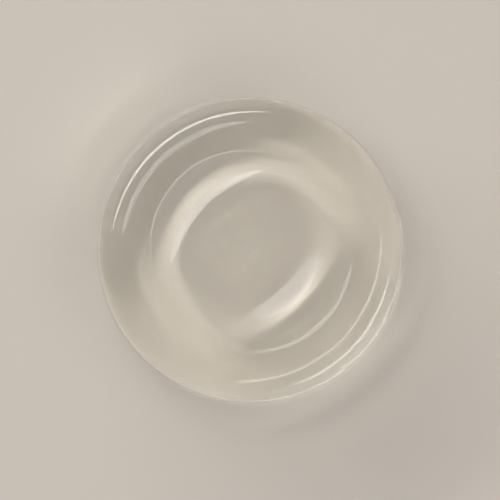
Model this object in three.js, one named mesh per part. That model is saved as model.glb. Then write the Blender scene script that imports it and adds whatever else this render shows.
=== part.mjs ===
import * as THREE from "three";

// A clear self-adhesive bumper for the inside of a cabinet door, cast in one piece.
// Millimetres and degrees, +Z up. The origin is the centre of the flat adhesive face, on z = 0.

// Body, measured to its sharp corners, before they are rounded
const baseDiameter = 12.7;
const bodyHeight = 3.5;
const sideDraft = 3;

// Roundings of the outside: where the side meets the adhesive face, and where it meets the land
const footRadius = 0.15;
const shoulderRadius = 1.4;

// Recess in the top, a bowl whose wall and floor both slope. Its diameter is where its wall would meet
// the flat land if neither were rounded, and slopes are measured from the level.
const recessDiameter = 8.4;
const recessDepth = 1.1;
const wallSlope = 30;
const rimRadius = 1;
const floorFilletRadius = 5;

// The recess floor is a shallow cone whose tip is rounded into a dish
const floorSlope = 7;
const dishRadius = 10;

// Casting pip in the middle of the recess
const pipDiameter = 0.7;
const pipHeight = 0.1;

// Two roundings on one side of the section use up at most this share of it, so some of it stays flat
const fullestSide = 0.95;

// Fineness of the faceted surface
const turnFacets = 120;
const arcStep = 8;
const pipRings = 4;

const degrees = THREE.MathUtils.degToRad;

// The sharp corners of the section with their roundings: the adhesive face, the outer corners, the
// recess, then its floor's tip on the axis and the corner beyond it, which mirrors the one before.
function sectionCorners() {
  const baseRadius = baseDiameter / 2;
  const mouthRadius = recessDiameter / 2;
  const topRadius = baseRadius - bodyHeight * Math.tan(degrees(sideDraft));
  const lean = 1 / Math.tan(degrees(wallSlope));
  const rise = Math.tan(degrees(floorSlope));
  const dishLift = dishRadius * (1 / Math.cos(degrees(floorSlope)) - 1);
  const tipDepth = recessDepth + dishLift;
  const wallFoot = (mouthRadius - lean * tipDepth) / (1 - lean * rise);
  const tipHeight = bodyHeight - tipDepth;
  const wallFootHeight = tipHeight + wallFoot * rise;
  return [
    { at: new THREE.Vector2(0, 0), radius: 0 },
    { at: new THREE.Vector2(baseRadius, 0), radius: footRadius },
    { at: new THREE.Vector2(topRadius, bodyHeight), radius: shoulderRadius },
    { at: new THREE.Vector2(mouthRadius, bodyHeight), radius: rimRadius },
    { at: new THREE.Vector2(wallFoot, wallFootHeight), radius: floorFilletRadius },
    { at: new THREE.Vector2(0, tipHeight), radius: dishRadius },
    { at: new THREE.Vector2(-wallFoot, wallFootHeight), radius: floorFilletRadius },
  ];
}

// Half of the angle between a corner's two sides
function halfAngle(corners, index) {
  const corner = corners[index].at;
  const before = corners[index - 1].at.clone().sub(corner);
  const after = corners[index + 1].at.clone().sub(corner);
  return before.angleTo(after) / 2;
}

// How far each corner's rounding reaches along its sides. Two that would crowd a side shrink alike.
function roundingReaches(corners) {
  const last = corners.length - 1;
  const reaches = corners.map(({ radius }, index) =>
    index > 0 && index < last ? radius / Math.tan(halfAngle(corners, index)) : 0,
  );
  const shares = reaches.map(() => 1);
  for (let side = 0; side < last; side += 1) {
    const length = corners[side].at.distanceTo(corners[side + 1].at);
    const wanted = reaches[side] + reaches[side + 1];
    const share = Math.min(1, (fullestSide * length) / wanted);
    shares[side] = Math.min(shares[side], share);
    shares[side + 1] = Math.min(shares[side + 1], share);
  }
  return reaches.map((reach, index) => reach * shares[index]);
}

// The arc that rounds a corner, from the side before it to the side after it, with its centre.
function cornerArc(corners, index, reach) {
  const corner = corners[index].at;
  const toBefore = corners[index - 1].at.clone().sub(corner).normalize();
  const toAfter = corners[index + 1].at.clone().sub(corner).normalize();
  const half = halfAngle(corners, index);
  const radius = reach * Math.tan(half);
  const inward = toBefore.clone().add(toAfter).normalize();
  const centre = corner.clone().addScaledVector(inward, reach / Math.cos(half));
  const start = corner.clone().addScaledVector(toBefore, reach).sub(centre).angle();
  const end = corner.clone().addScaledVector(toAfter, reach).sub(centre).angle();
  const turn = THREE.MathUtils.euclideanModulo(end - start + Math.PI, 2 * Math.PI) - Math.PI;
  const steps = Math.max(2, Math.ceil(Math.abs(turn) / degrees(arcStep)));
  const curve = new THREE.EllipseCurve(
    centre.x, centre.y, radius, radius, start, start + turn, turn < 0,
  );
  return { centre, radius, points: curve.getPoints(steps) };
}

// The dish from its edge to the pip, then the pip as a smooth swell up to the axis.
function dishWithPip(dish) {
  const pipRadius = pipDiameter / 2;
  const plain = dish.points.filter((point) => point.x > pipRadius);
  const rings = Array.from({ length: pipRings + 1 }, (unused, ring) => {
    const across = pipRadius * (1 - ring / pipRings);
    const ground = dish.centre.y - Math.sqrt(dish.radius ** 2 - across ** 2);
    const swell = (pipHeight / 2) * (1 + Math.cos((Math.PI * across) / pipRadius));
    return new THREE.Vector2(across, ground + swell);
  });
  return [...plain, ...rings];
}

// Half section of the bumper, from the axis at the adhesive face, round the outside, to the axis on top.
function halfSection() {
  const corners = sectionCorners();
  const reaches = roundingReaches(corners);
  const tip = corners.length - 2;
  const rounded = reaches.slice(1, tip).flatMap((reach, index) => {
    const { points } = cornerArc(corners, index + 1, reach);
    return points;
  });
  return [corners[0].at, ...rounded, ...dishWithPip(cornerArc(corners, tip, reaches[tip]))];
}

function bumper() {
  const geometry = new THREE.LatheGeometry(halfSection(), turnFacets);
  geometry.rotateX(Math.PI / 2);
  const clearPolyurethane = new THREE.MeshStandardMaterial({
    color: 0xe9e4d6,
    roughness: 0.12,
    metalness: 0,
    transparent: true,
    opacity: 0.45,
  });
  const mesh = new THREE.Mesh(geometry, clearPolyurethane);
  mesh.name = "bumper";
  return mesh;
}

const part = new THREE.Group();
part.add(bumper());

export default part;
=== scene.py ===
import math

import bmesh
import bpy
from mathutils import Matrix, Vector


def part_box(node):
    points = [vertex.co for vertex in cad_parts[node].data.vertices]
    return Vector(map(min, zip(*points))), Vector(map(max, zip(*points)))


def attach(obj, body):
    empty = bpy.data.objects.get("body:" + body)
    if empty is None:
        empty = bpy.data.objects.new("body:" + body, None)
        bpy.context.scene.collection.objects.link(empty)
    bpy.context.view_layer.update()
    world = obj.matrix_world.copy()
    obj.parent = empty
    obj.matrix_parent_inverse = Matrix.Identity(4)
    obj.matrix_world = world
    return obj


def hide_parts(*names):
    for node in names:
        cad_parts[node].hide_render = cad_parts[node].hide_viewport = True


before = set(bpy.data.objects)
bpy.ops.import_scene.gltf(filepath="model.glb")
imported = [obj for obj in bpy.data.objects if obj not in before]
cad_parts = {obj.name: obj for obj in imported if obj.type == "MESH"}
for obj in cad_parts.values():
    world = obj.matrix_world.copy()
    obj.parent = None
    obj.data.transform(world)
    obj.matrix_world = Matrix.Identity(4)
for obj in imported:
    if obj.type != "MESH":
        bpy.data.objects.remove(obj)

# Metres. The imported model's frame: +Z up, origin at the middle of the adhesive face.
scene = bpy.context.scene
scene.view_settings.view_transform = "Standard"
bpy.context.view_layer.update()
nodeLow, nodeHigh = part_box("bumper")
bodyHeight = nodeHigh.z - nodeLow.z
millimetre = 0.001
micron = 0.000001
weldDistance = 0.1 * micron
print("frame loaded, bumper height", round(bodyHeight / millimetre, 3), "mm")


def addNode(tree, kind, **settings):
    node = tree.nodes.new(kind)
    for setting, value in settings.items():
        setattr(node, setting, value)
    return node


def feed(tree, socket, value):
    # a socket is linked, anything else is typed in
    if isinstance(value, bpy.types.NodeSocket):
        tree.links.new(value, socket)
    else:
        socket.default_value = value


def calc(tree, operation, *values):
    node = addNode(tree, "ShaderNodeMath", operation=operation)
    for socket, value in zip(node.inputs, values):
        feed(tree, socket, value)
    return node.outputs[0]


# The bumper's half section: six corners, each with its own rounding, and how finely it is turned.
bumperSizes = {
    "Base Diameter": 12.7 * millimetre,
    "Height": bodyHeight,
    "Side Draft": math.radians(3),
    "Foot Radius": 0.15 * millimetre,
    "Shoulder Radius": 1.4 * millimetre,
    "Recess Diameter": 8.4 * millimetre,
    "Recess Depth": 1.1 * millimetre,
    "Wall Slope": math.radians(30),
    "Rim Radius": 1.0 * millimetre,
    "Floor Fillet": 5 * millimetre,
    "Floor Slope": math.radians(7),
    "Dish Radius": 10 * millimetre,
    "Pip Diameter": 0.7 * millimetre,
    "Pip Height": 0.1 * millimetre,
    "Fillet Points": 40,
    "Section Rows": 300,
    "Turn Facets": 288,
}


def pickByCorner(tree, corner, values):
    # one value for each corner of the half section
    picker = addNode(tree, "GeometryNodeIndexSwitch", data_type="FLOAT")
    while len(picker.index_switch_items) < len(values):
        picker.index_switch_items.new()
    feed(tree, picker.inputs[0], corner)
    for socket, value in zip(picker.inputs[1:], values):
        feed(tree, socket, value)
    return picker.outputs[0]


def drawSection(tree, size):
    # The whole section is drawn as one symmetric line, so the dish comes out level on the axis.
    lastCorner = 5  # the tip of the recess floor, counted from 0 at the middle of the adhesive face
    draftTan = calc(tree, "TANGENT", size["Side Draft"])
    wallLean = calc(tree, "DIVIDE", 1, calc(tree, "TANGENT", size["Wall Slope"]))
    floorTan = calc(tree, "TANGENT", size["Floor Slope"])
    baseRadius = calc(tree, "MULTIPLY", size["Base Diameter"], 0.5)
    recessRadius = calc(tree, "MULTIPLY", size["Recess Diameter"], 0.5)
    topRadius = calc(tree, "SUBTRACT", baseRadius, calc(tree, "MULTIPLY", size["Height"], draftTan))
    floorCos = calc(tree, "COSINE", size["Floor Slope"])
    dishLift = calc(tree, "SUBTRACT", calc(tree, "DIVIDE", 1, floorCos), 1)
    coneDepth = calc(tree, "MULTIPLY_ADD", dishLift, size["Dish Radius"], size["Recess Depth"])
    coneTip = calc(tree, "SUBTRACT", size["Height"], coneDepth)
    wallRun = calc(tree, "SUBTRACT", recessRadius, calc(tree, "MULTIPLY", wallLean, coneDepth))
    shortening = calc(tree, "SUBTRACT", 1, calc(tree, "MULTIPLY", wallLean, floorTan))
    wallFoot = calc(tree, "DIVIDE", wallRun, shortening)
    wallFootHeight = calc(tree, "MULTIPLY_ADD", wallFoot, floorTan, coneTip)

    index = addNode(tree, "GeometryNodeInputIndex").outputs[0]
    fromAxis = calc(tree, "SUBTRACT", lastCorner, index)
    corner = calc(tree, "SUBTRACT", lastCorner, calc(tree, "ABSOLUTE", fromAxis))
    across = pickByCorner(tree, corner, [0, baseRadius, topRadius, recessRadius, wallFoot, 0])
    height = pickByCorner(tree, corner, [0, 0, size["Height"], size["Height"], wallFootHeight, coneTip])
    radii = [0, size["Foot Radius"], size["Shoulder Radius"], size["Rim Radius"], size["Floor Fillet"]]
    rounding = pickByCorner(tree, corner, radii + [size["Dish Radius"]])

    line = addNode(tree, "GeometryNodeMeshLine")
    feed(tree, line.inputs["Count"], 2 * lastCorner + 1)
    place = addNode(tree, "ShaderNodeCombineXYZ")
    feed(tree, place.inputs["X"], calc(tree, "MULTIPLY", across, calc(tree, "SIGN", fromAxis)))
    feed(tree, place.inputs["Z"], height)
    corners = addNode(tree, "GeometryNodeSetPosition")
    feed(tree, corners.inputs["Geometry"], line.outputs["Mesh"])
    feed(tree, corners.inputs["Position"], place.outputs[0])
    curve = addNode(tree, "GeometryNodeMeshToCurve")
    feed(tree, curve.inputs["Mesh"], corners.outputs["Geometry"])
    rounded = addNode(tree, "GeometryNodeFilletCurve", mode="POLY")
    feed(tree, rounded.inputs["Curve"], curve.outputs["Curve"])
    feed(tree, rounded.inputs["Count"], size["Fillet Points"])
    feed(tree, rounded.inputs["Radius"], rounding)
    feed(tree, rounded.inputs["Limit Radius"], True)
    return rounded.outputs["Curve"]


def turnSection(tree, size, curve):
    # A grid, one row for each step along half of the section, is wrapped round the axis.
    grid = addNode(tree, "GeometryNodeMeshGrid")
    spokes = calc(tree, "ADD", size["Turn Facets"], 1)
    feed(tree, grid.inputs["Vertices X"], size["Section Rows"])
    feed(tree, grid.inputs["Vertices Y"], spokes)
    index = addNode(tree, "GeometryNodeInputIndex").outputs[0]
    row = calc(tree, "FLOOR", calc(tree, "DIVIDE", calc(tree, "ADD", index, 0.5), spokes))
    spoke = calc(tree, "SUBTRACT", index, calc(tree, "MULTIPLY", row, spokes))
    turn = calc(tree, "MULTIPLY", calc(tree, "DIVIDE", spoke, size["Turn Facets"]), math.tau)

    # Row 0 is the middle of the adhesive face. Row 1 is two foot radii short of its edge.
    length = addNode(tree, "GeometryNodeCurveLength")
    feed(tree, length.inputs["Curve"], curve)
    halfLength = calc(tree, "MULTIPLY", length.outputs[0], 0.5)
    baseRadius = calc(tree, "MULTIPLY", size["Base Diameter"], 0.5)
    flatLength = calc(tree, "MULTIPLY_ADD", size["Foot Radius"], -2, baseRadius)
    stepCount = calc(tree, "SUBTRACT", size["Section Rows"], 2)
    share = calc(tree, "DIVIDE", calc(tree, "SUBTRACT", row, 1), stepCount)
    beyond = calc(tree, "MULTIPLY", share, calc(tree, "SUBTRACT", halfLength, flatLength))
    along = calc(tree, "MULTIPLY", calc(tree, "ADD", flatLength, beyond), calc(tree, "MINIMUM", row, 1))
    sample = addNode(tree, "GeometryNodeSampleCurve", mode="LENGTH")
    feed(tree, sample.inputs["Curves"], curve)
    feed(tree, sample.inputs["Length"], along)
    split = addNode(tree, "ShaderNodeSeparateXYZ")
    feed(tree, split.inputs[0], sample.outputs["Position"])
    radius = calc(tree, "ABSOLUTE", split.outputs["X"])

    # the pip is a smooth swell on the recess floor, and the adhesive face below it stays flat
    pipRadius = calc(tree, "MULTIPLY", size["Pip Diameter"], 0.5)
    pipShare = calc(tree, "MINIMUM", calc(tree, "DIVIDE", radius, pipRadius), 1)
    swell = calc(tree, "ADD", calc(tree, "COSINE", calc(tree, "MULTIPLY", pipShare, math.pi)), 1)
    pip = calc(tree, "MULTIPLY", calc(tree, "MULTIPLY", swell, 0.5), size["Pip Height"])
    lowPart = calc(tree, "MULTIPLY", size["Height"], 0.25)
    onTop = calc(tree, "GREATER_THAN", split.outputs["Z"], lowPart)
    place = addNode(tree, "ShaderNodeCombineXYZ")
    feed(tree, place.inputs["X"], calc(tree, "MULTIPLY", radius, calc(tree, "COSINE", turn)))
    feed(tree, place.inputs["Y"], calc(tree, "MULTIPLY", radius, calc(tree, "SINE", turn)))
    feed(tree, place.inputs["Z"], calc(tree, "MULTIPLY_ADD", pip, onTop, split.outputs["Z"]))
    wrapped = addNode(tree, "GeometryNodeSetPosition")
    feed(tree, wrapped.inputs["Geometry"], grid.outputs["Mesh"])
    feed(tree, wrapped.inputs["Position"], place.outputs[0])
    return wrapped.outputs["Geometry"]


def makeBumperTree():
    tree = bpy.data.node_groups.new("turnedBumper", "GeometryNodeTree")
    tree.is_modifier = True
    for name, value in bumperSizes.items():
        kind = "NodeSocketInt" if isinstance(value, int) else "NodeSocketFloat"
        tree.interface.new_socket(name, in_out="INPUT", socket_type=kind)
    tree.interface.new_socket("Finish", in_out="INPUT", socket_type="NodeSocketMaterial")
    tree.interface.new_socket("Bumper", in_out="OUTPUT", socket_type="NodeSocketGeometry")
    size = addNode(tree, "NodeGroupInput").outputs
    turned = turnSection(tree, size, drawSection(tree, size))
    merged = addNode(tree, "GeometryNodeMergeByDistance")
    feed(tree, merged.inputs["Geometry"], turned)
    feed(tree, merged.inputs["Distance"], weldDistance)
    smooth = addNode(tree, "GeometryNodeSetShadeSmooth")
    feed(tree, smooth.inputs["Geometry"], merged.outputs["Geometry"])
    realized = addNode(tree, "GeometryNodeRealizeInstances")
    feed(tree, realized.inputs["Geometry"], smooth.outputs["Geometry"])
    finished = addNode(tree, "GeometryNodeSetMaterial")
    feed(tree, finished.inputs["Geometry"], realized.outputs["Geometry"])
    feed(tree, finished.inputs["Material"], size["Finish"])
    feed(tree, addNode(tree, "NodeGroupOutput").inputs["Bumper"], finished.outputs["Geometry"])
    return tree


def closeMesh(mesh):
    # the axis and the seam are welded, and every face looks outwards
    work = bmesh.new()
    work.from_mesh(mesh)
    bmesh.ops.remove_doubles(work, verts=work.verts, dist=weldDistance)
    bmesh.ops.recalc_face_normals(work, faces=work.faces)
    openEdges = sum(1 for edge in work.edges if not edge.is_manifold)
    work.to_mesh(mesh)
    work.free()
    print("bumper mesh:", len(mesh.polygons), "faces,", openEdges, "open edges")


def makeBumper(finish):
    bumper = bpy.data.objects.new("clear_bumper", bpy.data.meshes.new("clear_bumper"))
    scene.collection.objects.link(bumper)
    tree = makeBumperTree()
    turning = bumper.modifiers.new("turnedBumper", "NODES")
    turning.node_group = tree
    values = dict(bumperSizes, Finish=finish)
    for item in tree.interface.items_tree:
        if item.in_out == "INPUT":
            turning[item.identifier] = values[item.name]
    depsgraph = bpy.context.evaluated_depsgraph_get()
    mesh = bpy.data.meshes.new_from_object(bumper.evaluated_get(depsgraph))
    bumper.modifiers.remove(turning)
    bumper.data = mesh
    closeMesh(mesh)
    return bumper


# Clear cast polyurethane: glossy, faintly golden in the depth, with a tacky underside.
clearLook = {
    "tint": (1, 0.998, 0.985, 1),
    "depthColor": (1, 0.985, 0.9, 1),
    "depthDensity": 80,
    "ior": 1.5,
    "rippleSize": 1.3 * millimetre,
    "rippleDetail": 3,
    "rippleHeight": 1.2 * micron,
    "smoothest": 0.03,
    "dullest": 0.09,
    "tackyRoughness": 0.5,
    "tackyHeight": 20 * micron,
}


def makeClearPolyurethane():
    material = bpy.data.materials.new("clearPolyurethane")
    material.use_nodes = True
    tree = material.node_tree
    tree.nodes.clear()
    coordinates = addNode(tree, "ShaderNodeTexCoord").outputs["Object"]
    ripple = addNode(tree, "ShaderNodeTexNoise")
    feed(tree, ripple.inputs["Vector"], coordinates)
    feed(tree, ripple.inputs["Scale"], 1 / clearLook["rippleSize"])
    feed(tree, ripple.inputs["Detail"], clearLook["rippleDetail"])
    bump = addNode(tree, "ShaderNodeBump")
    feed(tree, bump.inputs["Distance"], clearLook["rippleHeight"])
    feed(tree, bump.inputs["Height"], ripple.outputs["Fac"])
    handling = addNode(tree, "ShaderNodeMapRange")
    feed(tree, handling.inputs["Value"], ripple.outputs["Fac"])
    feed(tree, handling.inputs["To Min"], clearLook["smoothest"])
    feed(tree, handling.inputs["To Max"], clearLook["dullest"])
    # the tacky underside is duller than the cast faces
    split = addNode(tree, "ShaderNodeSeparateXYZ")
    feed(tree, split.inputs[0], coordinates)
    underside = calc(tree, "LESS_THAN", split.outputs["Z"], clearLook["tackyHeight"])
    tackiness = calc(tree, "MULTIPLY", underside, clearLook["tackyRoughness"])
    roughness = calc(tree, "MAXIMUM", handling.outputs["Result"], tackiness)
    shader = addNode(tree, "ShaderNodeBsdfPrincipled")
    feed(tree, shader.inputs["Base Color"], clearLook["tint"])
    feed(tree, shader.inputs["Metallic"], 0)
    feed(tree, shader.inputs["IOR"], clearLook["ior"])
    feed(tree, shader.inputs["Transmission Weight"], 1)
    feed(tree, shader.inputs["Roughness"], roughness)
    feed(tree, shader.inputs["Normal"], bump.outputs["Normal"])
    depth = addNode(tree, "ShaderNodeVolumeAbsorption")
    feed(tree, depth.inputs["Color"], clearLook["depthColor"])
    feed(tree, depth.inputs["Density"], clearLook["depthDensity"])
    output = addNode(tree, "ShaderNodeOutputMaterial")
    feed(tree, output.inputs["Surface"], shader.outputs["BSDF"])
    feed(tree, output.inputs["Volume"], depth.outputs["Volume"])
    return material


bumper = makeBumper(makeClearPolyurethane())
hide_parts("bumper")
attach(bumper, "root")
print("bumper dressed")


# The floor and the backdrop are the same warm pale colour.
paleColor = (0.584, 0.527, 0.468, 1)

# A plain pale floor, slightly glossy, with a hair of air between it and the adhesive face. A light path
# that has met a dull surface before finds the slightly darker, greyer bounce colour here. From below
# the floor is clear.
floorLook = {
    "width": 400 * millimetre,
    "level": -30 * micron,
    "seenColor": paleColor,
    "bounceColor": (0.5, 0.493, 0.485, 1),
    "sheetRoughness": 0.2,
    "sheetIor": 1.4,
}


def makeFloorFinish():
    material = bpy.data.materials.new("paleFloor")
    material.use_nodes = True
    tree = material.node_tree
    tree.nodes.clear()
    path = addNode(tree, "ShaderNodeLightPath")
    bounced = calc(tree, "MINIMUM", path.outputs["Diffuse Depth"], 1)  # 1 once a dull surface was met
    color = addNode(tree, "ShaderNodeMix", data_type="RGBA")
    feed(tree, color.inputs["Factor"], bounced)
    feed(tree, color.inputs["A"], floorLook["seenColor"])
    feed(tree, color.inputs["B"], floorLook["bounceColor"])
    sheet = addNode(tree, "ShaderNodeBsdfPrincipled")
    feed(tree, sheet.inputs["Base Color"], color.outputs["Result"])
    feed(tree, sheet.inputs["Roughness"], floorLook["sheetRoughness"])
    feed(tree, sheet.inputs["IOR"], floorLook["sheetIor"])
    clear = addNode(tree, "ShaderNodeBsdfTransparent")
    fromBelow = addNode(tree, "ShaderNodeNewGeometry").outputs["Backfacing"]
    sides = addNode(tree, "ShaderNodeMixShader")
    feed(tree, sides.inputs[0], fromBelow)
    feed(tree, sides.inputs[1], sheet.outputs[0])
    feed(tree, sides.inputs[2], clear.outputs[0])
    output = addNode(tree, "ShaderNodeOutputMaterial")
    feed(tree, output.inputs["Surface"], sides.outputs[0])
    return material


def makeFloor():
    half = floorLook["width"] / 2
    level = floorLook["level"]
    corners = [(-half, -half, level), (half, -half, level), (half, half, level), (-half, half, level)]
    mesh = bpy.data.meshes.new("floor")
    mesh.from_pydata(corners, [], [(0, 1, 2, 3)])
    mesh.materials.append(makeFloorFinish())
    floor = bpy.data.objects.new("floor", mesh)
    scene.collection.objects.link(floor)


# Four soft lamps, all as far from the bumper: a high and a low one at the upper left, and a pair at the
# lower right, weaker together, which lights the far side of the ring and its rim. Degrees from +X and
# from the level, then the lamp's own width and height in metres.
lampDistance = 600 * millimetre
softLamps = {
    "highKey": {"azimuth": 133, "elevation": 60, "wide": 0.5, "tall": 0.2, "watts": 0.8},
    "lowKey": {"azimuth": 128, "elevation": 20, "wide": 1.1, "tall": 0.1, "watts": 2.7},
    "highFill": {"azimuth": -44, "elevation": 54, "wide": 0.99, "tall": 0.077, "watts": 0.86},
    "lowFill": {"azimuth": -41, "elevation": 4, "wide": 0.74, "tall": 0.1, "watts": 1.05},
}


def makeLamp(name, setup):
    azimuth, elevation = math.radians(setup["azimuth"]), math.radians(setup["elevation"])
    level = math.cos(elevation)
    towards = Vector((level * math.cos(azimuth), level * math.sin(azimuth), math.sin(elevation)))
    data = bpy.data.lights.new(name, "AREA")
    data.shape = "ELLIPSE"
    data.size = setup["wide"]
    data.size_y = setup["tall"]
    data.energy = setup["watts"]
    lamp = bpy.data.objects.new(name, data)
    lamp.location = towards * lampDistance
    lamp.rotation_mode = "QUATERNION"
    lamp.rotation_quaternion = towards.to_track_quat("Z", "Y")
    scene.collection.objects.link(lamp)


# An even sky lights the rest. In its place the camera sees a plain pale backdrop, directly and also
# in reflections and through the clear body.
skyLook = {
    "strength": 0.45,
    "color": (1, 1, 1, 1),
    "backdrop": paleColor,
}


def makeSky():
    world = bpy.data.worlds.new("evenSky")
    world.use_nodes = True
    tree = world.node_tree
    tree.nodes.clear()
    sky = addNode(tree, "ShaderNodeBackground")
    feed(tree, sky.inputs["Color"], skyLook["color"])
    feed(tree, sky.inputs["Strength"], skyLook["strength"])
    backdrop = addNode(tree, "ShaderNodeBackground")
    feed(tree, backdrop.inputs["Color"], skyLook["backdrop"])
    path = addNode(tree, "ShaderNodeLightPath")
    bounced = calc(tree, "MINIMUM", path.outputs["Diffuse Depth"], 1)  # 1 once a dull surface was met
    seen = addNode(tree, "ShaderNodeMixShader")
    feed(tree, seen.inputs[0], bounced)
    feed(tree, seen.inputs[1], backdrop.outputs[0])
    feed(tree, seen.inputs[2], sky.outputs[0])
    output = addNode(tree, "ShaderNodeOutputWorld")
    feed(tree, output.inputs["Surface"], seen.outputs[0])
    scene.world = world


# The camera looks straight down. Its angle follows from how much of the picture the bumper fills.
cameraSetup = {"height": 350 * millimetre, "fill": 0.62}


def makeCamera():
    data = bpy.data.cameras.new("camera")
    pictureWidth = bumperSizes["Base Diameter"] / cameraSetup["fill"]
    data.angle = 2 * math.atan(pictureWidth / 2 / (cameraSetup["height"] - bodyHeight))
    data.clip_start = millimetre
    camera = bpy.data.objects.new("camera", data)
    camera.location = (0, 0, cameraSetup["height"])
    scene.collection.objects.link(camera)
    scene.camera = camera


makeFloor()
for name, setup in softLamps.items():
    makeLamp(name, setup)
makeSky()
makeCamera()
scene.cycles.blur_glossy = 0  # light through the clear body keeps its full strength
print("floor, light and camera set")
